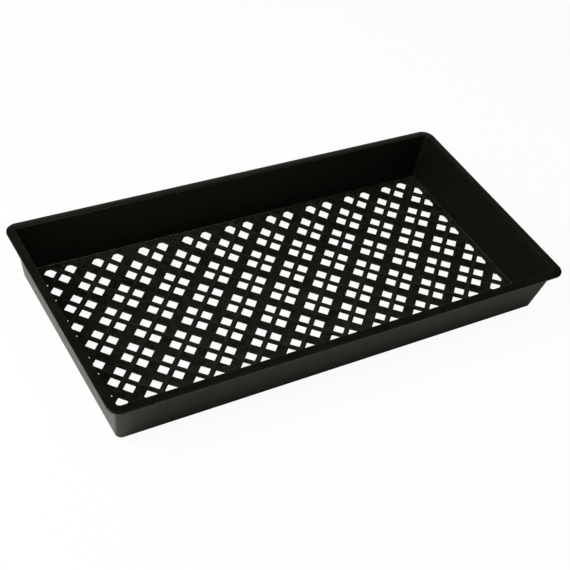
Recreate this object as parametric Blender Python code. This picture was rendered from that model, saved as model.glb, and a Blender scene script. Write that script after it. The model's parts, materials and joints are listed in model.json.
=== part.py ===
"""Mesh plant tray: a shallow black moulded tray with a turned-down rim, leaning walls and a net floor.

The tray is one moulding. It is built here in its natural sections, each a solid of its own: four flat
walls, four rounded wall corners, four rim lengths, four rim corners and the net floor. Metres, +Z up,
X along the tray, Y from its front to its back, and the origin under its middle where the floor rests.
"""

import math

import bmesh
import bpy
from mathutils import Vector
from mathutils.geometry import delaunay_2d_cdt

for leftover in list(bpy.data.objects):
    bpy.data.objects.remove(leftover, do_unlink=True)

# Overall sizes
RIM_LENGTH = 0.542
RIM_WIDTH = 0.272
WALL_HEIGHT = 0.058

# Rim: a flat band round the mouth with a lip turned down at its outer edge
RIM_BAND = 0.0095
RIM_THICKNESS = 0.0018
LIP_DEPTH = 0.0030
LIP_THICKNESS = 0.0016
LIP_ROUND = 0.0012

# Walls: how thick they are, and how far they lean in from the rim to the foot
WALL = 0.0022
END_LEAN = 0.0097
SIDE_LEAN = 0.0082
MOUTH_RADIUS = 0.0040
FOOT_ROUND = 0.0008

# Floor: it hangs from the wall's foot, dips towards the middle and is cut flat where it rests
FLOOR_THICKNESS = 0.0020
FLOOR_RISE = 0.0030
FLOOR_DIP = 0.0080
REST_CUT = 0.0005
PLAIN_BORDER = 0.0048

# Net: square holes in groups of four, set diagonally between wide and thin bars
HOLE = 0.0104
THIN_BAR = 0.0058
WIDE_BAR = 0.0117

# Gap between neighbouring sections
CLEARANCE = 0.0003

# Segments in a round corner, in the lip's rounded edge and along each straight edge of the floor
CORNER_STEPS = 8
LIP_STEPS = 3
BORDER_STEPS = 20

# How the floor's plan is filled, and the distance at which its points count as one
TRIANGLES_LESS_HOLES = 2
MERGE = 1e-7

# Heights
FOOT = FLOOR_DIP + FLOOR_THICKNESS - FLOOR_RISE - REST_CUT
RIM_TOP = FOOT + WALL_HEIGHT
RIM_UNDERSIDE = RIM_TOP - RIM_THICKNESS
LIP_BOTTOM = RIM_TOP - LIP_DEPTH
WALL_TOP = RIM_UNDERSIDE - CLEARANCE
FLOOR_EDGE = FOOT + FLOOR_RISE

# Centres of the round corners at the rim, which all corner radii share
CENTRE_X = RIM_LENGTH / 2 - RIM_BAND - MOUTH_RADIUS
CENTRE_Y = RIM_WIDTH / 2 - RIM_BAND - MOUTH_RADIUS
WALL_RADIUS = MOUTH_RADIUS + WALL
RIM_RADIUS = MOUTH_RADIUS + RIM_BAND

# Corners in turn, counter-clockwise from above: name, side of the tray in X and Y, first angle
CORNERS = (
    ("front_left", -1, -1, math.pi),
    ("front_right", 1, -1, 1.5 * math.pi),
    ("back_right", 1, 1, 0.0),
    ("back_left", -1, 1, 0.5 * math.pi),
)
SIDES = ("front", "right", "back", "left")
QUARTER = math.pi / 2

PLASTIC = (0.012, 0.012, 0.011, 1.0)
ROUGHNESS = {"rim": 0.36, "wall": 0.40, "floor": 0.45}


def plastic(name, finish):
    """The black plastic of one section."""
    material = bpy.data.materials.new(name)
    material.use_nodes = True
    shader = material.node_tree.nodes["Principled BSDF"]
    shader.inputs["Base Color"].default_value = PLASTIC
    shader.inputs["Roughness"].default_value = ROUGHNESS[finish]
    shader.inputs["Metallic"].default_value = 0.0
    return material


def place(name, shape, finish):
    """Turns a finished bmesh into a named object under the tray's empty."""
    bmesh.ops.recalc_face_normals(shape, faces=shape.faces)
    mesh = bpy.data.meshes.new(name)
    shape.to_mesh(mesh)
    shape.free()
    mesh.materials.append(plastic(name, finish))
    mesh.shade_smooth()
    mesh.set_sharp_from_angle(angle=math.radians(30))
    section = bpy.data.objects.new(name, mesh)
    section.parent = tray
    bpy.context.scene.collection.objects.link(section)


def loft(rings):
    """A closed shape through rings of points, capped at both ends."""
    shape = bmesh.new()
    loops = [[shape.verts.new(point) for point in ring] for ring in rings]
    for near, far in zip(loops, loops[1:]):
        for i in range(len(near)):
            shape.faces.new((near[i - 1], near[i], far[i], far[i - 1]))
    shape.faces.new(loops[0])
    shape.faces.new(loops[-1])
    return shape


def lean_at(height):
    """How far the walls stand inside their place at the rim, along X and Y, at one height."""
    share = (RIM_TOP - height) / WALL_HEIGHT
    return END_LEAN * share, SIDE_LEAN * share


def ring(section, side_x, side_y, angle, slide=0.0, leans=False):
    """The section's points stood up at one angle of a corner, and slid along the direction of travel."""
    points = []
    for radius, height in section:
        lean_x, lean_y = lean_at(height) if leans else (0.0, 0.0)
        x = side_x * (CENTRE_X - lean_x) + radius * math.cos(angle) - slide * math.sin(angle)
        y = side_y * (CENTRE_Y - lean_y) + radius * math.sin(angle) + slide * math.cos(angle)
        points.append((x, y, height))
    return points


def run_round(prefix, corner_prefix, section, finish, leans):
    """Carries a section round the tray, as four straight lengths and four corners."""
    for i, (name, side_x, side_y, first) in enumerate(CORNERS):
        angles = [first + QUARTER * k / CORNER_STEPS for k in range(CORNER_STEPS + 1)]
        turn = [ring(section, side_x, side_y, angle, leans=leans) for angle in angles]
        place(f"{corner_prefix}_{name}", loft(turn), finish)
        _, next_x, next_y, next_first = CORNERS[(i + 1) % len(CORNERS)]
        start = ring(section, side_x, side_y, first + QUARTER, CLEARANCE, leans)
        end = ring(section, next_x, next_y, next_first, -CLEARANCE, leans)
        place(f"{prefix}_{SIDES[i]}", loft((start, end)), finish)


def wall_section():
    """Radius and height of a wall's outline, with the outer foot edge broken."""
    return (
        (MOUTH_RADIUS, FOOT),
        (WALL_RADIUS - FOOT_ROUND, FOOT),
        (WALL_RADIUS, FOOT + FOOT_ROUND),
        (WALL_RADIUS, WALL_TOP),
        (MOUTH_RADIUS, WALL_TOP),
    )


def rim_section():
    """Radius and height of the rim's outline: the flat band, its rounded outer edge and the lip."""
    outline = [(MOUTH_RADIUS, RIM_UNDERSIDE), (MOUTH_RADIUS, RIM_TOP)]
    for k in range(LIP_STEPS + 1):
        angle = QUARTER * (1 - k / LIP_STEPS)
        radius = RIM_RADIUS - LIP_ROUND + LIP_ROUND * math.cos(angle)
        outline.append((radius, RIM_TOP - LIP_ROUND + LIP_ROUND * math.sin(angle)))
    outline.append((RIM_RADIUS, LIP_BOTTOM))
    outline.append((RIM_RADIUS - LIP_THICKNESS, LIP_BOTTOM))
    outline.append((RIM_RADIUS - LIP_THICKNESS, RIM_UNDERSIDE))
    return outline


def floor_halves():
    """Half the floor's length and width: it fits inside the walls at its underside with a clearance."""
    lean_x, lean_y = lean_at(FLOOR_EDGE - FLOOR_THICKNESS)
    reach = MOUTH_RADIUS - CLEARANCE
    return CENTRE_X - lean_x + reach, CENTRE_Y - lean_y + reach


def floor_height(x, y):
    """Top of the dished floor, level at its edge and lowest in the middle."""
    half_length, half_width = floor_halves()
    along = min(abs(x) / half_length, 1.0)
    across = min(abs(y) / half_width, 1.0)
    return FLOOR_EDGE - FLOOR_DIP * (1 - along**4) * (1 - across**4)


def floor_outline():
    """The floor's rounded rectangle, counter-clockwise, with points along its straight edges too."""
    half_length, half_width = floor_halves()
    radius = MOUTH_RADIUS - CLEARANCE
    points = []
    for i, (_, side_x, side_y, first) in enumerate(CORNERS):
        centre = Vector((side_x * (half_length - radius), side_y * (half_width - radius)))
        for k in range(CORNER_STEPS + 1):
            angle = first + QUARTER * k / CORNER_STEPS
            points.append(centre + radius * Vector((math.cos(angle), math.sin(angle))))
        _, next_x, next_y, next_first = CORNERS[(i + 1) % len(CORNERS)]
        far_centre = Vector((next_x * (half_length - radius), next_y * (half_width - radius)))
        far = far_centre + radius * Vector((math.cos(next_first), math.sin(next_first)))
        near = points[-1]
        points += [near.lerp(far, k / BORDER_STEPS) for k in range(1, BORDER_STEPS)]
    return points


def cut_above(outline, limit):
    """A convex outline with everything past a limit in Y cut away."""
    kept = []
    for i, here in enumerate(outline):
        before = outline[i - 1]
        if (here.y > limit) != (before.y > limit):
            kept.append(before.lerp(here, (limit - before.y) / (here.y - before.y)))
        if here.y <= limit:
            kept.append(here)
    return kept


def hole_outline(x, y, net_half_width):
    """One square hole standing on its corner, cut straight where it meets the floor's plain border."""
    reach = HOLE / math.sqrt(2)
    away = 1 if y >= 0 else -1
    square = ((reach, 0), (0, reach), (-reach, 0), (0, -reach))
    outline = [Vector((x + dx, abs(y) + dy)) for dx, dy in square]
    outline = cut_above(outline, net_half_width)
    return [Vector((point.x, away * point.y)) for point in outline[::away]]


def net_holes():
    """Every hole of the net. The short ends keep whole holes only, the long sides keep cut ones too."""
    half_length, half_width = floor_halves()
    net_half_length = half_length - PLAIN_BORDER
    net_half_width = half_width - PLAIN_BORDER
    pitch = 2 * HOLE + THIN_BAR + WIDE_BAR
    group_step = pitch / math.sqrt(2)
    hole_step = (HOLE + THIN_BAR) / math.sqrt(2)
    reach = HOLE / math.sqrt(2)
    most = math.ceil(net_half_length / group_step) + 1
    holes = []
    for m in range(-most, most + 1):
        for n in range(-most, most + 1):
            if (m + n) % 2:
                continue
            for dx, dy in ((1, 0), (0, 1), (-1, 0), (0, -1)):
                x = m * group_step + dx * hole_step
                y = n * group_step + dy * hole_step
                if abs(x) + reach < net_half_length and abs(y) < net_half_width:
                    holes.append(hole_outline(x, y, net_half_width))
    return holes


def net_floor():
    """The floor plate with its holes, dished, and flat where its underside would pass the resting plane."""
    loops = [floor_outline()] + net_holes()
    flat_points = []
    faces = []
    for loop in loops:
        faces.append(list(range(len(flat_points), len(flat_points) + len(loop))))
        flat_points += loop
    plan, _, plate, _, _, _ = delaunay_2d_cdt(flat_points, [], faces, TRIANGLES_LESS_HOLES, MERGE)

    shape = bmesh.new()
    tops = []
    undersides = []
    for point in plan:
        height = floor_height(point.x, point.y)
        tops.append(shape.verts.new((point.x, point.y, height)))
        undersides.append(shape.verts.new((point.x, point.y, max(height - FLOOR_THICKNESS, 0.0))))
    directed = set()
    for tri in plate:
        shape.faces.new([tops[i] for i in tri])
        shape.faces.new([undersides[i] for i in reversed(tri)])
        directed.update(zip(tri, tri[1:] + tri[:1]))
    for a, b in sorted(directed):
        if (b, a) not in directed:
            shape.faces.new((tops[a], undersides[a], undersides[b], tops[b]))
    return shape


tray = bpy.data.objects.new("mesh_plant_tray", None)
bpy.context.scene.collection.objects.link(tray)
run_round("wall", "wall_corner", wall_section(), "wall", leans=True)
run_round("rim", "rim_corner", rim_section(), "rim", leans=False)
place("mesh_floor", net_floor(), "floor")
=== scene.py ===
"""Looks of a black moulded plant tray with a net floor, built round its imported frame. Metres, +Z up."""

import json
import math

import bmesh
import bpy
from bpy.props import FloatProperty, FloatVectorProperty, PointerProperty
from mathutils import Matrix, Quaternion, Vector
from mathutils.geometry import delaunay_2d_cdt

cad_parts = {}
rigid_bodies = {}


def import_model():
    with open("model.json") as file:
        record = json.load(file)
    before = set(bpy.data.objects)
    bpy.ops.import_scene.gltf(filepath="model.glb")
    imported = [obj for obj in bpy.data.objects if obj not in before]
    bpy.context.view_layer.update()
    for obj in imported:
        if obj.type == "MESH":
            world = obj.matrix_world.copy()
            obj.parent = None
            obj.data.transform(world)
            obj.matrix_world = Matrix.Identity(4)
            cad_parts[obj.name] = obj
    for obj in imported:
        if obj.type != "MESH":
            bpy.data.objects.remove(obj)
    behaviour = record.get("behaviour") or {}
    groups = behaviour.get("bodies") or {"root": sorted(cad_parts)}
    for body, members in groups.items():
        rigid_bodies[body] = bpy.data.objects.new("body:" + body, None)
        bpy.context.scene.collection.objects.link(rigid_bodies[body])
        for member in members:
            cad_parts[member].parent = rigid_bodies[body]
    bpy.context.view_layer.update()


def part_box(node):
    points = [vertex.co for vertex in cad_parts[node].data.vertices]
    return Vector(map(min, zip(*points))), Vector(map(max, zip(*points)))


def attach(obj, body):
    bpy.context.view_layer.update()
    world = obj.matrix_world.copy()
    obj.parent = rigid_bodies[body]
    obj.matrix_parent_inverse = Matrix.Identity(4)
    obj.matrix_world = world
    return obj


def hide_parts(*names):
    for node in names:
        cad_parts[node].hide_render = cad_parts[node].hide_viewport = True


bl_info = {
    "name": "Mesh plant tray",
    "version": (1, 0, 0),
    "blender": (4, 5, 0),
    "location": "3D View > Sidebar > Plant tray",
    "description": "Builds a moulded plant tray's rim, walls and net floor, its finish and its stage",
    "category": "Object",
}

for leftover in list(bpy.data.objects):
    bpy.data.objects.remove(leftover, do_unlink=True)
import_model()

BODY = "root"
CORNER_NAMES = ("front_left", "front_right", "back_right", "back_left")
SIDE_NAMES = ("front", "right", "back", "left")
QUARTER = math.pi / 2

# Corners in turn, counter-clockwise from above: side of the tray in X and Y, and first angle
CORNERS = (
    (-1, -1, math.pi),
    (1, -1, 1.5 * math.pi),
    (1, 1, 0.0),
    (-1, 1, QUARTER),
)
CORNER_STEPS = 16
ROUND_STEPS = 5
BAND_STEPS = 6
HOLE_CORNER_STEPS = 4
EDGE_STEPS = 24
RIB_STEPS = 3
BETWEEN_RIBS_STEPS = 6
TRIANGLES_LESS_HOLES = 2
MERGE = 1e-7
STAGE_HALF = 4.0
STAGE_GAP = 0.0002

# Powers of the curves by which the rim's band falls and the floor dips
RIM_FALL_POWER = 2.5
DISH_POWER = 4

# Most that one rounded bar edge takes of the floor's thickness
MOST_ROUND_SHARE = 0.45

# Room that the points of the ribs keep from a hole, in radii of a bar's edge
RIB_CLEARANCE = 1.5

# Short steps for measuring a slope and the direction into a hole
SLOPE_STEP = 1e-5
INWARD_STEP = 1e-4

# Depth of the mould's grain, how far its streaks are drawn out, and the relief of its mottling
GRAIN_DEPTH = 0.00005
STREAK_SQUASH = 0.06
MOTTLE_RELIEF = 1.5
NOISE_SPREAD = 4.0

# Name, place, size in metres and power in watts of each lamp
LAMPS = (
    ("key", (-1.184, 0.362, 1.375), 0.8, 28.0),
    ("left", (-1.602, 0.0, 0.925), 0.9, 14.0),
    ("high", (0.45, -0.30, 1.74), 0.3, 6.5),
    ("front", (0.373, -1.755, 0.448), 0.7, 4.5),
)

# Sizes that the frame gives
RIM_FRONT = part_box("rim_front")
WALL_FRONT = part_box("wall_front")
WALL_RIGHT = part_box("wall_right")
RIM_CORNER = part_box("rim_corner_front_left")
FLOOR_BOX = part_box("mesh_floor")
RIM_TOP = RIM_FRONT[1].z
LIP_BOTTOM = RIM_FRONT[0].z
FOOT = WALL_FRONT[0].z
FLOOR_EDGE = FLOOR_BOX[1].z
RIM_BAND = RIM_FRONT[1].y - RIM_FRONT[0].y
RIM_RADIUS = RIM_CORNER[1].x - RIM_CORNER[0].x
MOUTH_RADIUS = RIM_RADIUS - RIM_BAND
CENTRE_X = -RIM_CORNER[0].x - RIM_RADIUS
CENTRE_Y = -RIM_CORNER[0].y - RIM_RADIUS
END_LEAN = CENTRE_X + MOUTH_RADIUS - WALL_RIGHT[0].x
SIDE_LEAN = CENTRE_Y + MOUTH_RADIUS + WALL_FRONT[1].y


class TraySizes(bpy.types.PropertyGroup):
    """Sizes of the tray that the frame leaves open."""

    wall: FloatProperty(
        name="Wall", description="Thickness of the walls", default=0.0022, unit="LENGTH"
    )
    rim_thickness: FloatProperty(
        name="Rim thickness", description="Thickness of the rim's flat band", default=0.0018, unit="LENGTH"
    )
    lip_thickness: FloatProperty(
        name="Lip thickness", description="Thickness of the rim's lip", default=0.0016, unit="LENGTH"
    )
    mouth_round: FloatProperty(
        name="Mouth round", description="Radius of the inner edge of the rim", default=0.0005, unit="LENGTH"
    )
    rim_round: FloatProperty(
        name="Rim round", description="Radius of the outer edge of the rim", default=0.0005, unit="LENGTH"
    )
    rim_fall: FloatProperty(
        name="Rim fall", description="How far the rim's band falls from the mouth to its outer edge",
        default=0.00065, unit="LENGTH",
    )
    rim_fillet: FloatProperty(
        name="Rim fillet", description="Radius between the walls and the rim's underside", default=0.0010,
        unit="LENGTH",
    )
    rim_root: FloatProperty(
        name="Rim root", description="Depth below the rim at which it runs into the walls", default=0.0060,
        unit="LENGTH",
    )
    mouth_root: FloatProperty(
        name="Mouth root", description="Depth inside the mouth at which the rim runs into the walls",
        default=0.0010, unit="LENGTH",
    )
    foot_round: FloatProperty(
        name="Foot round", description="Radius of the walls' outer foot edge", default=0.0012, unit="LENGTH"
    )
    floor_thickness: FloatProperty(
        name="Floor thickness", description="Thickness of the net floor", default=0.0020, unit="LENGTH"
    )
    floor_dip: FloatProperty(
        name="Floor dip", description="How far the floor's middle lies below its edge", default=0.0080,
        unit="LENGTH",
    )
    floor_fillet: FloatProperty(
        name="Floor fillet", description="Radius between the walls and the floor",
        default=0.0012, unit="LENGTH",
    )
    plain_border: FloatProperty(
        name="Plain border", description="Floor left plain beside the walls", default=0.0048, unit="LENGTH"
    )
    hole: FloatProperty(
        name="Hole", description="Side of a square hole", default=0.0104, unit="LENGTH"
    )
    thin_bar: FloatProperty(
        name="Thin bar", description="Bar between the holes of a group", default=0.0058, unit="LENGTH"
    )
    wide_bar: FloatProperty(
        name="Wide bar", description="Bar between groups of holes", default=0.0117, unit="LENGTH"
    )
    rib: FloatProperty(
        name="Rib", description="Height of the soft ribs along the thin bars", default=0.0003, unit="LENGTH"
    )
    # Reach of the pale crest colour, which stands partly for wear and partly for a painted highlight along
    # the crests
    crest_wear_and_sheen_reach: FloatProperty(
        name="Rib crest wear and sheen reach", description="Reach of the pale wear and painted highlight beside the crest of a rib", default=0.0016,
        unit="LENGTH",
    )
    hole_round: FloatProperty(
        name="Hole corner", description="Corner radius of a hole", default=0.0005, unit="LENGTH"
    )
    cut_round: FloatProperty(
        name="Cut hole corner", description="Corner radius where a hole stops at the border",
        default=0.0028,
        unit="LENGTH",
    )
    bar_round: FloatProperty(
        name="Bar round", description="Radius along the edges of the bars", default=0.0007, unit="LENGTH"
    )


class TrayFinish(bpy.types.PropertyGroup):
    """Colours and gloss of the black plastic."""

    plastic: FloatVectorProperty(
        name="Plastic", description="Colour of the black plastic", default=(0.0030, 0.0033, 0.0020),
        subtype="COLOR", size=3, min=0.0, max=1.0,
    )
    bloom: FloatVectorProperty(
        name="Bloom", description="Colour of the pale haze left by the mould",
        default=(0.0048, 0.0051, 0.0032),
        subtype="COLOR", size=3, min=0.0, max=1.0,
    )
    worn_plastic: FloatVectorProperty(
        name="Worn plastic", description="Colour of the net floor's plastic",
        default=(0.0036, 0.0039, 0.0023),
        subtype="COLOR", size=3, min=0.0, max=1.0,
    )
    worn_bloom: FloatVectorProperty(
        name="Worn bloom", description="Colour of the haze on the net floor",
        default=(0.0103, 0.0106, 0.0071),
        subtype="COLOR", size=3, min=0.0, max=1.0,
    )
    # Pale rib crests: partly wear, partly a painted highlight along the crests
    rib_crest_wear_and_sheen: FloatVectorProperty(
        name="Rib crest wear and sheen", description="Colour of the pale rib crests, from wear and a painted highlight",
        default=(0.0160, 0.0162, 0.0132),
        subtype="COLOR", size=3, min=0.0, max=1.0,
    )
    # The inner faces' colours are a darker copy of the plastic: painted shade inside the tray
    inside_shaded_plastic: FloatVectorProperty(
        name="Inside shaded plastic", description="Colour of the walls' inner faces, darkened as painted shade",
        default=(0.0008, 0.0010, 0.0004),
        subtype="COLOR", size=3, min=0.0, max=1.0,
    )
    inside_shaded_bloom: FloatVectorProperty(
        name="Inside shaded bloom", description="Colour of the haze on the walls' inner faces",
        default=(0.0014, 0.0017, 0.0008), subtype="COLOR", size=3, min=0.0, max=1.0,
    )
    gloss_level: FloatProperty(
        name="Gloss level", description="Strength of the plastic's reflection", default=0.21,
        subtype="FACTOR", min=0.0, max=1.0,
    )
    gloss_tint: FloatVectorProperty(
        name="Gloss tint", description="Tint of the plastic's reflection", default=(1.0, 0.99, 0.74),
        subtype="COLOR", size=3, min=0.0, max=1.0,
    )


class TrayStage(bpy.types.PropertyGroup):
    """Camera, floor and light."""

    camera_place: FloatVectorProperty(
        name="Camera", description="Where the camera stands", default=(-0.60653, -0.75066, 0.90139),
        subtype="TRANSLATION", unit="LENGTH", size=3,
    )
    camera_aim: FloatVectorProperty(
        name="Aim", description="Point at the middle of the picture", default=(0.00703, 0.01196, 0.0),
        subtype="TRANSLATION", unit="LENGTH", size=3,
    )
    camera_roll: FloatProperty(
        name="Roll", description="Turn of the camera about its line of sight", default=math.radians(12.90),
        subtype="ANGLE",
    )
    lens: FloatProperty(
        name="Lens", description="Focal length on a 36 mm sensor, in millimetres", default=76.26
    )
    floor_colour: FloatVectorProperty(
        name="Floor colour", description="Colour of the pale floor", default=(0.82, 0.80, 0.75),
        subtype="COLOR", size=3, min=0.0, max=1.0,
    )
    room_light: FloatProperty(
        name="Room light", description="Brightness of the dim room as light", default=0.03, min=0.0
    )
    sweep_light: FloatProperty(
        name="Sweep light", description="Brightness of the pale sweep behind the tray",
        default=0.75, min=0.0,
    )
    floor_gleam: FloatProperty(
        name="Floor gleam", description="Share of plain white in the floor as reflections show it",
        default=0.02,
        subtype="FACTOR", min=0.0, max=1.0,
    )
    floor_white: FloatProperty(
        name="Floor white", description="Share of plain white in the floor as the camera sees it",
        default=0.95,
        subtype="FACTOR", min=0.0, max=1.0,
    )


def lean_at(height):
    """How far the walls stand inside their place at the rim, along X and Y, at one height."""
    share = (RIM_TOP - height) / (RIM_TOP - FOOT)
    return END_LEAN * share, SIDE_LEAN * share


def arc(radius, height, size, first, last, steps=ROUND_STEPS):
    """Points of an arc in a section, with angles in degrees from the outward direction."""
    angles = [math.radians(first + (last - first) * k / steps) for k in range(steps + 1)]
    return [(radius + size * math.cos(a), height + size * math.sin(a)) for a in angles]


def ring(section, corner, angle):
    """A section stood up at one angle of a corner. Each point says whether it leans with the walls."""
    side_x, side_y, _ = corner
    points = []
    for radius, height, leans in section:
        lean_x, lean_y = lean_at(height) if leans else (0.0, 0.0)
        x = side_x * (CENTRE_X - lean_x) + radius * math.cos(angle)
        y = side_y * (CENTRE_Y - lean_y) + radius * math.sin(angle)
        points.append((x, y, height))
    return points


def carried_round(section):
    """A closed section carried round the tray, with sharp edges where it meets the neighbouring piece."""
    shape = bmesh.new()
    loops = []
    for corner in CORNERS:
        for k in range(CORNER_STEPS + 1):
            points = ring(section, corner, corner[2] + QUARTER * k / CORNER_STEPS)
            loops.append([shape.verts.new(point) for point in points])
    for near, far in zip(loops, loops[1:] + loops[:1]):
        for i in range(len(near)):
            face = shape.faces.new((near[i - 1], near[i], far[i], far[i - 1]))
            face.smooth = True
        for end in (0, -1):
            shape.edges.get((near[end], far[end])).smooth = False
    return shape


def side_nodes(kind):
    """Names of one kind's CAD nodes: its four sides and its four corners."""
    return [f"{kind}_{side}" for side in SIDE_NAMES] + [f"{kind}_corner_{name}" for name in CORNER_NAMES]


def placed(name, mesh, material, nodes):
    """Sets a mesh in the scene as a piece that rides on the tray and stands for its nodes."""
    mesh.materials.append(material)
    piece = bpy.data.objects.new(name, mesh)
    bpy.context.scene.collection.objects.link(piece)
    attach(piece, BODY)
    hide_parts(*nodes)
    return piece


def finished(name, shape, material, nodes):
    """Turns a bmesh into a piece of the tray."""
    bmesh.ops.recalc_face_normals(shape, faces=shape.faces)
    mesh = bpy.data.meshes.new(name)
    shape.to_mesh(mesh)
    shape.free()
    return placed(name, mesh, material, nodes)


def weigh_normals(piece):
    """Keeps large faces flat in the shading beside their rounded edges."""
    weigh = piece.modifiers.new("flat faces", "WEIGHTED_NORMAL")
    weigh.weight = 100
    weigh.keep_sharp = True


def rim_section(sizes):
    """The rim's outline: mouth edge, falling band, rounded outer edge, lip, and root at the walls."""
    root = RIM_TOP - sizes.rim_root
    under = RIM_TOP - sizes.rim_thickness
    wall_out = MOUTH_RADIUS + sizes.wall
    lip_in = RIM_RADIUS - sizes.lip_thickness
    lip_end = sizes.lip_thickness / 2
    mouth = sizes.mouth_round
    outer = sizes.rim_round
    fillet = sizes.rim_fillet
    upright = [(MOUTH_RADIUS, RIM_TOP - sizes.mouth_root, True)]
    upright += [(r, z, True) for r, z in arc(MOUTH_RADIUS + mouth, RIM_TOP - mouth, mouth, 180, 90)]
    flat = RIM_BAND - mouth - outer
    shares = [k / BAND_STEPS for k in range(1, BAND_STEPS)]
    band = [(MOUTH_RADIUS + mouth + flat * t, RIM_TOP - sizes.rim_fall * t**RIM_FALL_POWER) for t in shares]
    band += arc(RIM_RADIUS - outer, RIM_TOP - sizes.rim_fall - outer, outer, 90, 0)
    band += arc(RIM_RADIUS - lip_end, LIP_BOTTOM + lip_end, lip_end, 0, -180)
    band += arc(lip_in - lip_end / 2, under - lip_end / 2, lip_end / 2, 0, 90)
    below = [(r, z, True) for r, z in arc(wall_out + fillet, under - fillet, fillet, 90, 180)]
    below.append((wall_out, root, True))
    return upright + [(r, z, False) for r, z in band] + below


def wall_section(sizes):
    """The walls' outline from the rim's root down to the rounded foot."""
    root = RIM_TOP - sizes.rim_root
    outer = MOUTH_RADIUS + sizes.wall
    small = sizes.wall - sizes.foot_round
    points = [(outer, root)]
    points += arc(outer - sizes.foot_round, FOOT + sizes.foot_round, sizes.foot_round, 0, -90)
    points += arc(MOUTH_RADIUS + small / 2, FOOT + small / 2, small / 2, -90, -180)
    points.append((MOUTH_RADIUS, RIM_TOP - sizes.mouth_root))
    return [(r, z, True) for r, z in points]


class FloorShape:
    """Plan and heights of the dished net floor."""

    def __init__(self, sizes):
        self.sizes = sizes
        self.half_length = FLOOR_BOX[1].x
        self.half_width = FLOOR_BOX[1].y
        lean_x, lean_y = lean_at(FLOOR_EDGE)
        self.wall_x = CENTRE_X - lean_x
        self.wall_y = CENTRE_Y - lean_y
        self.pitch = 2 * sizes.hole + sizes.thin_bar + sizes.wide_bar

    def outline(self, inset):
        """The floor's rounded outline, a distance in from the walls, counter-clockwise."""
        radius = MOUTH_RADIUS - inset
        points = []
        for i, (side_x, side_y, first) in enumerate(CORNERS):
            centre = Vector((side_x * self.wall_x, side_y * self.wall_y))
            for k in range(CORNER_STEPS + 1):
                angle = first + QUARTER * k / CORNER_STEPS
                points.append(centre + radius * Vector((math.cos(angle), math.sin(angle))))
            next_x, next_y, next_first = CORNERS[(i + 1) % len(CORNERS)]
            far_centre = Vector((next_x * self.wall_x, next_y * self.wall_y))
            far = far_centre + radius * Vector((math.cos(next_first), math.sin(next_first)))
            near = points[-1]
            points += [near.lerp(far, k / EDGE_STEPS) for k in range(1, EDGE_STEPS)]
        return points

    def wall_distance(self, x, y):
        """How far a point of the floor lies from the nearest wall."""
        out_x = abs(x) - self.wall_x
        out_y = abs(y) - self.wall_y
        if out_x > 0 and out_y > 0:
            return MOUTH_RADIUS - math.hypot(out_x, out_y)
        return MOUTH_RADIUS - max(out_x, out_y)

    def dish(self, x, y):
        """Top of the dished floor without the fillet at the walls."""
        along = min(abs(x) / self.half_length, 1.0)
        across = min(abs(y) / self.half_width, 1.0)
        return FLOOR_EDGE - self.sizes.floor_dip * (1 - along**DISH_POWER) * (1 - across**DISH_POWER)

    def rib(self, x, y):
        """Height of the ribs that run along the thin bars both ways, and fade out in the plain border."""
        height = 0.0
        for place in ((x + y) / math.sqrt(2), (x - y) / math.sqrt(2)):
            across = abs(place - self.pitch * round(place / self.pitch)) / (self.sizes.thin_bar / 2)
            height = max(height, self.sizes.rib * (1 - across**2))
        border = self.sizes.plain_border - self.sizes.floor_fillet
        fade = (self.wall_distance(x, y) - self.sizes.floor_fillet) / border
        return height * max(0.0, min(fade, 1.0))

    def top(self, x, y):
        """Top of the floor, with its ribs and the fillet that runs up to the walls."""
        fillet = self.sizes.floor_fillet
        short = max(0.0, fillet - max(0.0, self.wall_distance(x, y)))
        rise = fillet - math.sqrt(max(0.0, fillet**2 - short**2))
        return self.dish(x, y) + self.rib(x, y) + rise

    def rib_points(self):
        """Points of the plan that shape the ribs, on a diagonal grid, clear of the holes and the walls."""
        sizes = self.sizes
        half = sizes.thin_bar / 2
        between = self.pitch / 2 - half
        marks = [half * k / RIB_STEPS for k in range(RIB_STEPS + 1)]
        marks += [half + between * k / BETWEEN_RIBS_STEPS for k in range(1, BETWEEN_RIBS_STEPS + 1)]
        marks += [-mark for mark in marks[1:-1]]
        clear = RIB_CLEARANCE * sizes.bar_round
        most = math.ceil((self.half_length + self.half_width) / self.pitch)
        cells = range(-most, most + 1)
        lines = [(cell * self.pitch + mark, abs(mark)) for cell in cells for mark in marks]
        points = []
        for u, off_u in lines:
            for v, off_v in lines:
                x = (u + v) / math.sqrt(2)
                y = (u - v) / math.sqrt(2)
                on_rib = min(off_u, off_v) <= half
                past_bar = min(off_u, off_v) - half
                past_hole = max(off_u, off_v) - half - sizes.hole
                beside_hole = past_bar > -clear and past_hole < clear
                if on_rib and not beside_hole and self.wall_distance(x, y) > sizes.plain_border:
                    points.append(Vector((x, y)))
        return points

    def underside(self, x, y):
        """Underside of the floor, flat where it rests."""
        return max(self.dish(x, y) - self.sizes.floor_thickness, 0.0)

    def normal(self, height, x, y):
        """Upward normal of one of the floor's surfaces."""
        step = SLOPE_STEP
        slope_x = (height(x + step, y) - height(x - step, y)) / (2 * step)
        slope_y = (height(x, y + step) - height(x, y - step)) / (2 * step)
        return Vector((-slope_x, -slope_y, 1.0)).normalized()


def cut_past(outline, axis, limit):
    """A convex outline cut where one of its coordinates passes a limit, with a mark on the cut's corners."""
    kept = []
    for i, (here, marked) in enumerate(outline):
        before = outline[i - 1][0]
        if (here[axis] > limit) != (before[axis] > limit):
            share = (limit - before[axis]) / (here[axis] - before[axis])
            kept.append((before.lerp(here, share), True))
        if here[axis] <= limit:
            kept.append((here, marked))
    return kept


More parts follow.
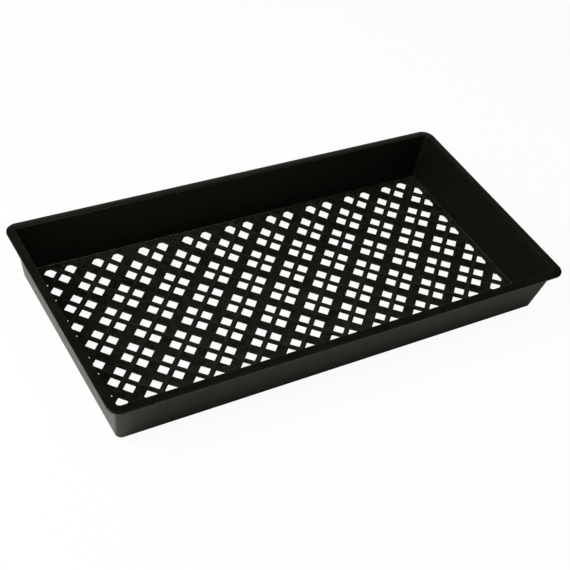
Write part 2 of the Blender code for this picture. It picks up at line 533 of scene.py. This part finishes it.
class Hole:
    """One hole of the net: a convex outline with rounded corners, which can be drawn wider or narrower."""

    def __init__(self, x, y, half_length, half_width, sizes):
        reach = sizes.hole / math.sqrt(2)
        flip_x = 1 if x >= 0 else -1
        flip_y = 1 if y >= 0 else -1
        square = ((reach, 0), (0, reach), (-reach, 0), (0, -reach))
        outline = [(Vector((abs(x) + dx, abs(y) + dy)), False) for dx, dy in square]
        outline = cut_past(outline, 0, half_length)
        outline = cut_past(outline, 1, half_width)
        outline = [(Vector((p.x * flip_x, p.y * flip_y)), marked) for p, marked in outline]
        if flip_x * flip_y < 0:
            outline.reverse()
        self.corners = []
        for i, (here, marked) in enumerate(outline):
            before = (here - outline[i - 1][0]).normalized()
            after = (outline[(i + 1) % len(outline)][0] - here).normalized()
            size = sizes.cut_round if marked else sizes.hole_round
            first = math.atan2(-before.x, before.y)
            turn = -before.angle_signed(after)
            inward = (after - before).normalized()
            centre = here + inward * size / math.cos(turn / 2)
            self.corners.append((centre, size, first, turn))

    def outline(self, wider):
        """The hole's outline, pushed outwards by a distance, counter-clockwise."""
        points = []
        for centre, size, first, turn in self.corners:
            for k in range(HOLE_CORNER_STEPS + 1):
                angle = first + turn * k / HOLE_CORNER_STEPS
                points.append(centre + (size + wider) * Vector((math.cos(angle), math.sin(angle))))
        return points


def net_holes(floor):
    """Every hole of the net whose middle lies inside the plain border."""
    sizes = floor.sizes
    half_length = floor.half_length - sizes.plain_border
    half_width = floor.half_width - sizes.plain_border
    group_step = floor.pitch / math.sqrt(2)
    hole_step = (sizes.hole + sizes.thin_bar) / math.sqrt(2)
    most = math.ceil(half_length / group_step) + 1
    holes = []
    for m in range(-most, most + 1):
        for n in range(-most, most + 1):
            if (m + n) % 2:
                continue
            for dx, dy in ((1, 0), (0, 1), (-1, 0), (0, -1)):
                x = m * group_step + dx * hole_step
                y = n * group_step + dy * hole_step
                if abs(x) < half_length and abs(y) < half_width:
                    holes.append(Hole(x, y, half_length, half_width, sizes))
    return holes


class FloorMesh:
    """Gathers the points, normals and faces of the net floor."""

    def __init__(self, floor):
        self.floor = floor
        self.points = []
        self.normals = []
        self.faces = []

    def add(self, x, y, z, normal):
        self.points.append((x, y, z))
        self.normals.append(normal.normalized())
        return len(self.points) - 1

    def sheet(self, loops, height, facing, between=()):
        """Fills the plan between an outline and the holes at one surface, and returns each loop's points."""
        plan = []
        faces = []
        for loop in loops:
            faces.append(list(range(len(plan), len(plan) + len(loop))))
            plan += loop
        plan += between
        filled, _, triangles, _, _, _ = delaunay_2d_cdt(plan, [], faces, TRIANGLES_LESS_HOLES, MERGE)
        assert len(filled) == len(plan), "the floor's plan has crossing lines"
        first = len(self.points)
        for p in plan:
            self.add(p.x, p.y, height(p.x, p.y), facing * self.floor.normal(height, p.x, p.y))
        for tri in triangles:
            turned = tri if facing > 0 else tri[::-1]
            self.faces.append([first + i for i in turned])
        return [[first + i for i in face] for face in faces]

    def band(self, upper, lower):
        """Faces between two loops of the same length, facing the loops' right-hand side."""
        for i in range(len(upper)):
            self.faces.append((upper[i - 1], lower[i - 1], lower[i], upper[i]))


def net_floor_mesh(sizes):
    """The dished floor: top and underside, a fillet at the walls, and bars with rounded edges."""
    floor = FloorShape(sizes)
    made = FloorMesh(floor)
    holes = net_holes(floor)
    round_over = sizes.bar_round
    open_outlines = [hole.outline(round_over) for hole in holes]
    fillet_end = sizes.floor_fillet
    ribs = floor.rib_points()
    top_loops = made.sheet([floor.outline(fillet_end)] + open_outlines, floor.top, 1, ribs)
    under_loops = made.sheet([floor.outline(0.0)] + open_outlines, floor.underside, -1)

    edge = top_loops[0]
    for k in range(1, ROUND_STEPS + 1):
        angle = QUARTER * k / ROUND_STEPS
        inset = fillet_end * (1 - math.sin(angle))
        level = []
        for p in floor.outline(inset):
            centre_x = max(-floor.wall_x, min(floor.wall_x, p.x))
            centre_y = max(-floor.wall_y, min(floor.wall_y, p.y))
            away = Vector((p.x - centre_x, p.y - centre_y, 0.0)).normalized()
            normal = Vector((0, 0, math.cos(angle))) - away * math.sin(angle)
            level.append(made.add(p.x, p.y, floor.top(p.x, p.y), normal))
        made.band(edge, level)
        edge = level
    made.band(edge, under_loops[0])

    for hole, top_loop, under_loop in zip(holes, top_loops[1:], under_loops[1:]):
        above = top_loop
        below = under_loop
        for k in range(1, ROUND_STEPS + 1):
            angle = QUARTER * k / ROUND_STEPS
            wider = round_over * (1 - math.sin(angle))
            upper = []
            lower = []
            for p, q in zip(hole.outline(wider), hole.outline(wider - INWARD_STEP)):
                inwards = Vector((q.x - p.x, q.y - p.y, 0.0)).normalized()
                top = floor.top(p.x, p.y)
                under = floor.underside(p.x, p.y)
                drop = min(round_over, (top - under) * MOST_ROUND_SHARE) * (1 - math.cos(angle))
                tilt = inwards * math.sin(angle)
                upper.append(made.add(p.x, p.y, top - drop, tilt + Vector((0, 0, math.cos(angle)))))
                lower.append(made.add(p.x, p.y, under + drop, tilt - Vector((0, 0, math.cos(angle)))))
            made.band(upper, above)
            made.band(below, lower)
            above = upper
            below = lower
        made.band(below, above)
    return made


def value_group(name, inputs, outputs):
    """An empty shader node group with named sockets."""
    group = bpy.data.node_groups.new(name, "ShaderNodeTree")
    for socket, kind, default in inputs:
        made = group.interface.new_socket(socket, in_out="INPUT", socket_type=kind)
        made.default_value = default
    for socket, kind in outputs:
        group.interface.new_socket(socket, in_out="OUTPUT", socket_type=kind)
    return group, group.nodes.new("NodeGroupInput"), group.nodes.new("NodeGroupOutput")


def noise(nodes, links, coordinate, scale, detail, roughness=0.5):
    """A noise texture read at a coordinate."""
    texture = nodes.new("ShaderNodeTexNoise")
    texture.inputs["Scale"].default_value = scale
    texture.inputs["Detail"].default_value = detail
    texture.inputs["Roughness"].default_value = roughness
    links.new(coordinate, texture.inputs["Vector"])
    return texture.outputs["Fac"]


def maths(nodes, links, operation, first, second):
    """A Math node, whose two inputs are sockets or numbers."""
    node = nodes.new("ShaderNodeMath")
    node.operation = operation
    for socket, value in zip(node.inputs, (first, second)):
        if isinstance(value, (int, float)):
            socket.default_value = value
        else:
            links.new(value, socket)
    return node.outputs[0]


def spread(nodes, links, value, low, high, start, end):
    """Maps a value's range from low and high to start and end, smoothly and clamped."""
    node = nodes.new("ShaderNodeMapRange")
    node.interpolation_type = "SMOOTHSTEP"
    for name, number in (("From Min", low), ("From Max", high), ("To Min", start), ("To Max", end)):
        if isinstance(number, (int, float)):
            node.inputs[name].default_value = number
        else:
            links.new(number, node.inputs[name])
    links.new(value, node.inputs["Value"])
    return node.outputs["Result"]


def centred(nodes, links, value):
    """A noise value spread out to about -1 to 1 round its middle."""
    return maths(nodes, links, "MULTIPLY", maths(nodes, links, "SUBTRACT", value, 0.5), NOISE_SPREAD)


def mould_grain_group():
    """Fine grain of a mould's surface, streaks down its sides, and a pale haze in patches and specks."""
    group, given, result = value_group(
        "Mould grain",
        (
            ("Gloss", "NodeSocketFloat", 0.4),
            ("Patchiness", "NodeSocketFloat", 0.1),
            ("Mottle", "NodeSocketFloat", 0.3),
            ("Streaks", "NodeSocketFloat", 0.2),
            ("Plastic", "NodeSocketColor", (0.005, 0.005, 0.004, 1)),
            ("Bloom", "NodeSocketColor", (0.012, 0.012, 0.010, 1)),
        ),
        (("Colour", "NodeSocketColor"), ("Roughness", "NodeSocketFloat"), ("Height", "NodeSocketFloat")),
    )
    nodes = group.nodes
    links = group.links
    place = nodes.new("ShaderNodeTexCoord").outputs["Object"]
    upright = nodes.new("ShaderNodeMapping")
    upright.inputs["Scale"].default_value = (1.0, 1.0, STREAK_SQUASH)
    links.new(place, upright.inputs["Vector"])
    drawn_out = upright.outputs[0]

    haze = centred(nodes, links, noise(nodes, links, place, scale=34.0, detail=4.0, roughness=0.6))
    mottle = centred(nodes, links, noise(nodes, links, place, scale=150.0, detail=5.0, roughness=0.7))
    speck = centred(nodes, links, noise(nodes, links, place, scale=600.0, detail=2.0, roughness=0.5))
    mottle = maths(nodes, links, "ADD", mottle, speck)
    streak = centred(nodes, links, noise(nodes, links, drawn_out, scale=260.0, detail=3.0, roughness=0.6))
    fine = noise(nodes, links, place, scale=2600.0, detail=2.0, roughness=0.5)
    mottle = maths(nodes, links, "MULTIPLY", mottle, given.outputs["Mottle"])
    streak = maths(nodes, links, "MULTIPLY", streak, given.outputs["Streaks"])
    patch = maths(nodes, links, "ADD", maths(nodes, links, "ADD", haze, mottle), streak)

    rough = maths(nodes, links, "MULTIPLY", patch, given.outputs["Patchiness"])
    rough = maths(nodes, links, "ADD", rough, given.outputs["Gloss"])
    links.new(rough, result.inputs["Roughness"])
    blend = nodes.new("ShaderNodeMix")
    blend.data_type = "RGBA"
    haziness = spread(nodes, links, patch, low=-0.9, high=0.9, start=0.0, end=1.0)
    links.new(haziness, blend.inputs["Factor"])
    links.new(given.outputs["Plastic"], blend.inputs["A"])
    links.new(given.outputs["Bloom"], blend.inputs["B"])
    links.new(blend.outputs["Result"], result.inputs["Colour"])
    uneven = maths(nodes, links, "MULTIPLY", mottle, MOTTLE_RELIEF)
    links.new(maths(nodes, links, "ADD", fine, uneven), result.inputs["Height"])
    return group


def satin_plastic(name, finish, colours, gloss, patchiness, mottle, streaks, grain):
    """Black satin plastic with the mould's grain, at one gloss."""
    material = bpy.data.materials.new(name)
    material.use_nodes = True
    nodes = material.node_tree.nodes
    links = material.node_tree.links
    shader = nodes["Principled BSDF"]
    shader.inputs["Specular IOR Level"].default_value = finish.gloss_level
    shader.inputs["Specular Tint"].default_value = (*finish.gloss_tint, 1.0)
    mould = nodes.new("ShaderNodeGroup")
    mould.node_tree = bpy.data.node_groups.get("Mould grain") or mould_grain_group()
    mould.inputs["Gloss"].default_value = gloss
    mould.inputs["Patchiness"].default_value = patchiness
    mould.inputs["Mottle"].default_value = mottle
    mould.inputs["Streaks"].default_value = streaks
    mould.inputs["Plastic"].default_value = (*colours[0], 1.0)
    mould.inputs["Bloom"].default_value = (*colours[1], 1.0)
    bump = nodes.new("ShaderNodeBump")
    bump.inputs["Strength"].default_value = grain
    bump.inputs["Distance"].default_value = GRAIN_DEPTH
    links.new(mould.outputs["Colour"], shader.inputs["Base Color"])
    links.new(mould.outputs["Roughness"], shader.inputs["Roughness"])
    links.new(mould.outputs["Height"], bump.inputs["Height"])
    links.new(bump.outputs["Normal"], shader.inputs["Normal"])
    return material


def paint_rib_crest_wear_and_sheen(material, sizes, finish):
    """Pales the floor's plastic along the crests of its ribs, in patches: partly wear, partly a painted
    highlight along the crests.
    """
    nodes = material.node_tree.nodes
    links = material.node_tree.links
    colour = nodes["Principled BSDF"].inputs["Base Color"]
    place = nodes.new("ShaderNodeTexCoord").outputs["Object"]
    split = nodes.new("ShaderNodeSeparateXYZ")
    links.new(place, split.inputs[0])
    half_pitch = FloorShape(sizes).pitch / 2
    away = []
    for way in ("ADD", "SUBTRACT"):
        diagonal = maths(nodes, links, way, split.outputs["X"], split.outputs["Y"])
        across = maths(nodes, links, "DIVIDE", diagonal, math.sqrt(2))
        away.append(maths(nodes, links, "PINGPONG", across, half_pitch))
    nearest = maths(nodes, links, "MINIMUM", *away)
    # Pale crest colour: partly wear, partly a painted highlight along the crests
    crest = spread(nodes, links, nearest, low=0.0, high=sizes.crest_wear_and_sheen_reach, start=1.0, end=0.0)
    crest_patch_noise = noise(nodes, links, place, scale=90.0, detail=3.0)
    patches = spread(nodes, links, crest_patch_noise, low=0.35, high=0.65, start=0.45, end=1.0)
    blend = nodes.new("ShaderNodeMix")
    blend.data_type = "RGBA"
    links.new(maths(nodes, links, "MULTIPLY", crest, patches), blend.inputs["Factor"])
    links.new(colour.links[0].from_socket, blend.inputs["A"])
    blend.inputs["B"].default_value = (*finish.rib_crest_wear_and_sheen, 1.0)
    links.new(blend.outputs["Result"], colour)


class PLANTTRAY_OT_rim(bpy.types.Operator):
    """Make the flat rim with its turned-down lip"""

    bl_idname = "plant_tray.rim"
    bl_label = "Rim"

    def execute(self, context):
        scene = context.scene
        finish = scene.tray_finish
        colours = (finish.plastic, finish.bloom)
        material = satin_plastic(
            "rim_satin", finish, colours, gloss=0.28, patchiness=0.03, mottle=0.12, streaks=0.0, grain=0.15
        )
        shape = carried_round(rim_section(scene.tray_sizes))
        weigh_normals(finished("tray_rim", shape, material, side_nodes("rim")))
        return {"FINISHED"}


class PLANTTRAY_OT_walls(bpy.types.Operator):
    """Make the four leaning walls and their round corners"""

    bl_idname = "plant_tray.walls"
    bl_label = "Walls"

    def execute(self, context):
        scene = context.scene
        finish = scene.tray_finish
        colours = (finish.plastic, finish.bloom)
        material = satin_plastic(
            "wall_satin", finish, colours, gloss=0.30, patchiness=0.03, mottle=0.08, streaks=0.3, grain=0.15
        )
        shape = carried_round(wall_section(scene.tray_sizes))
        walls = finished("tray_walls", shape, material, side_nodes("wall"))
        # Inner faces get a darker copy of the plastic, which paints the shade inside the tray, and a matter
        # finish
        colours = (finish.inside_shaded_plastic, finish.inside_shaded_bloom)
        inside = satin_plastic(
            "inside_matt_painted_shade", finish, colours, gloss=0.50, patchiness=0.03, mottle=0.08, streaks=0.3, grain=0.15
        )
        walls.data.materials.append(inside)
        for face in walls.data.polygons:
            inner = face.normal.dot(Vector((face.center.x, face.center.y, 0.0))) < 0
            face.material_index = int(inner)
        weigh_normals(walls)
        return {"FINISHED"}


class PLANTTRAY_OT_floor(bpy.types.Operator):
    """Make the dished net floor"""

    bl_idname = "plant_tray.floor"
    bl_label = "Net floor"

    def execute(self, context):
        scene = context.scene
        made = net_floor_mesh(scene.tray_sizes)
        mesh = bpy.data.meshes.new("net_floor")
        mesh.from_pydata(made.points, [], made.faces)
        mesh.shade_smooth()
        mesh.normals_split_custom_set_from_vertices(made.normals)
        finish = scene.tray_finish
        colours = (finish.worn_plastic, finish.worn_bloom)
        material = satin_plastic(
            "floor_satin", finish, colours, gloss=0.27, patchiness=0.05, mottle=1.5, streaks=0.0, grain=0.45
        )
        # Pales the rib crests: partly wear, partly a painted highlight
        paint_rib_crest_wear_and_sheen(material, scene.tray_sizes, finish)
        placed("net_floor", mesh, material, ["mesh_floor"])
        return {"FINISHED"}


def white_floor(stage):
    """A pale floor that the camera sees as nearly white, with a trace of the tray's shadow."""
    material = bpy.data.materials.new("pale_floor")
    material.use_nodes = True
    nodes = material.node_tree.nodes
    links = material.node_tree.links
    nodes.remove(nodes["Principled BSDF"])
    paint = nodes.new("ShaderNodeBsdfDiffuse")
    paint.inputs["Color"].default_value = (*stage.floor_colour, 1.0)
    white = nodes.new("ShaderNodeEmission")
    white.inputs["Strength"].default_value = 1.0
    path = nodes.new("ShaderNodeLightPath")
    seen = maths(nodes, links, "MAXIMUM", path.outputs["Is Camera Ray"], path.outputs["Is Transmission Ray"])
    seen = maths(nodes, links, "MULTIPLY", seen, stage.floor_white)
    gleam = maths(nodes, links, "MULTIPLY", path.outputs["Is Glossy Ray"], stage.floor_gleam)
    mix = nodes.new("ShaderNodeMixShader")
    links.new(maths(nodes, links, "MAXIMUM", seen, gleam), mix.inputs["Fac"])
    links.new(paint.outputs[0], mix.inputs[1])
    links.new(white.outputs[0], mix.inputs[2])
    links.new(mix.outputs[0], nodes["Material Output"].inputs["Surface"])
    return material


def studio_world(stage):
    """White to the camera, and in reflections a white sweep behind the tray. As light, a dim room."""
    world = bpy.data.worlds.new("studio")
    bpy.context.scene.world = world
    world.use_nodes = True
    nodes = world.node_tree.nodes
    links = world.node_tree.links
    shown = nodes["Background"]
    shown.inputs["Color"].default_value = (1, 1, 1, 1)
    shown.inputs["Strength"].default_value = 1.0
    room = nodes.new("ShaderNodeBackground")
    room.inputs["Color"].default_value = (1, 1, 1, 1)
    room.inputs["Strength"].default_value = stage.room_light
    direction = nodes.new("ShaderNodeSeparateXYZ")
    links.new(nodes.new("ShaderNodeTexCoord").outputs["Generated"], direction.inputs[0])
    behind = spread(nodes, links, direction.outputs["Y"], low=0.3, high=1.0, start=0.0, end=1.0)
    low = spread(nodes, links, direction.outputs["Z"], low=0.25, high=0.80, start=1.0, end=0.0)
    sweep = maths(nodes, links, "MULTIPLY", behind, low)
    path = nodes.new("ShaderNodeLightPath")
    seen = maths(nodes, links, "MAXIMUM", path.outputs["Is Camera Ray"], path.outputs["Is Transmission Ray"])
    mirrored = maths(nodes, links, "MULTIPLY", path.outputs["Is Glossy Ray"], sweep)
    mirrored = maths(nodes, links, "MULTIPLY", mirrored, stage.sweep_light)
    mix = nodes.new("ShaderNodeMixShader")
    links.new(maths(nodes, links, "MAXIMUM", seen, mirrored), mix.inputs["Fac"])
    links.new(room.outputs[0], mix.inputs[1])
    links.new(shown.outputs[0], mix.inputs[2])
    links.new(mix.outputs[0], nodes["World Output"].inputs["Surface"])


def softbox(name, place, size, power):
    """A square soft lamp turned towards the middle of the tray."""
    lamp = bpy.data.lights.new(name, "AREA")
    lamp.shape = "SQUARE"
    lamp.size = size
    lamp.energy = power
    holder = bpy.data.objects.new(name, lamp)
    holder.location = place
    holder.rotation_mode = "QUATERNION"
    holder.rotation_quaternion = (-Vector(place)).to_track_quat("-Z", "Y")
    bpy.context.scene.collection.objects.link(holder)


class PLANTTRAY_OT_stage(bpy.types.Operator):
    """Set the pale floor, the studio light and the camera"""

    bl_idname = "plant_tray.stage"
    bl_label = "Stage"

    def execute(self, context):
        scene = context.scene
        stage = scene.tray_stage
        scene.view_settings.view_transform = "Standard"
        shape = bmesh.new()
        bmesh.ops.create_grid(shape, x_segments=1, y_segments=1, size=STAGE_HALF)
        mesh = bpy.data.meshes.new("floor")
        shape.to_mesh(mesh)
        shape.free()
        mesh.materials.append(white_floor(stage))
        floor = bpy.data.objects.new("floor", mesh)
        floor.location.z = -STAGE_GAP
        scene.collection.objects.link(floor)
        studio_world(stage)
        for lamp in LAMPS:
            softbox(*lamp)

        lens = bpy.data.cameras.new("camera")
        lens.sensor_width = 36.0
        lens.lens = stage.lens
        camera = bpy.data.objects.new("camera", lens)
        place = Vector(stage.camera_place)
        look = (Vector(stage.camera_aim) - place).to_track_quat("-Z", "Y")
        camera.location = place
        camera.rotation_mode = "QUATERNION"
        camera.rotation_quaternion = look @ Quaternion((0, 0, 1), stage.camera_roll)
        scene.collection.objects.link(camera)
        scene.camera = camera
        return {"FINISHED"}


class PLANTTRAY_PT_panel(bpy.types.Panel):
    """Sidebar panel with the tray's pieces"""

    bl_idname = "PLANTTRAY_PT_panel"
    bl_label = "Plant tray"
    bl_space_type = "VIEW_3D"
    bl_region_type = "UI"
    bl_category = "Plant tray"

    def draw(self, context):
        for operator in OPERATORS:
            self.layout.operator(operator.bl_idname)
        for group in (context.scene.tray_sizes, context.scene.tray_finish, context.scene.tray_stage):
            box = self.layout.box()
            for name in group.__annotations__:
                box.prop(group, name)


OPERATORS = (PLANTTRAY_OT_rim, PLANTTRAY_OT_walls, PLANTTRAY_OT_floor, PLANTTRAY_OT_stage)
CLASSES = (TraySizes, TrayFinish, TrayStage) + OPERATORS + (PLANTTRAY_PT_panel,)


def register():
    for cls in CLASSES:
        bpy.utils.register_class(cls)
    bpy.types.Scene.tray_sizes = PointerProperty(type=TraySizes)
    bpy.types.Scene.tray_finish = PointerProperty(type=TrayFinish)
    bpy.types.Scene.tray_stage = PointerProperty(type=TrayStage)


def unregister():
    del bpy.types.Scene.tray_stage
    del bpy.types.Scene.tray_finish
    del bpy.types.Scene.tray_sizes
    for cls in reversed(CLASSES):
        bpy.utils.unregister_class(cls)


def main():
    register()
    bpy.ops.plant_tray.rim()
    bpy.ops.plant_tray.walls()
    bpy.ops.plant_tray.floor()
    bpy.ops.plant_tray.stage()


if __name__ == "__main__":
    main()
